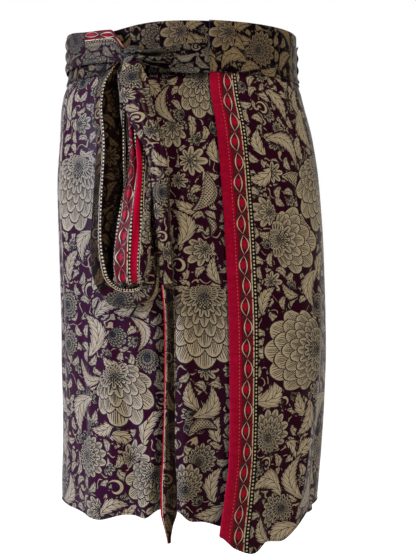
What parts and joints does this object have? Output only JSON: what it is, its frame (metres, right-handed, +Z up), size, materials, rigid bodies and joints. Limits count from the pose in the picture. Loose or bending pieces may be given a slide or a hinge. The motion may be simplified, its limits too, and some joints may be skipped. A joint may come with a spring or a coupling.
{
  "type": "wrap skirt",
  "caption": "Knee-length wrap skirt in thin printed silk with a wide waistband, a border down the free front edge and ties in a drooping bow, held in its worn form.",
  "frame": {"origin": "centre of the waist at the height of the waistband's top edge, where a waist, a hanger or a dress form holds the skirt", "axes": "+Z up along the skirt's length, -Y out of the front with the bow, +X towards the viewer's right"},
  "size_m": [0.366, 0.2922, 0.675],
  "materials": {
    "printed_silk": "thin printed silk, soft sheen",
    "border_silk": "thin crimson silk, soft sheen",
    "band_silk": "two plies of dark printed silk"
  },
  "bodies": {
    "root": {"wrap_panel": "printed_silk", "edge_band": "border_silk", "waistband": "band_silk", "tie_around": "printed_silk", "tie_over": "printed_silk", "bow_knot": "band_silk", "bow_loop_outer": "printed_silk", "bow_loop_inner": "border_silk", "tail_long": "printed_silk", "tail_short": "printed_silk"}
  },
  "joints": []
}
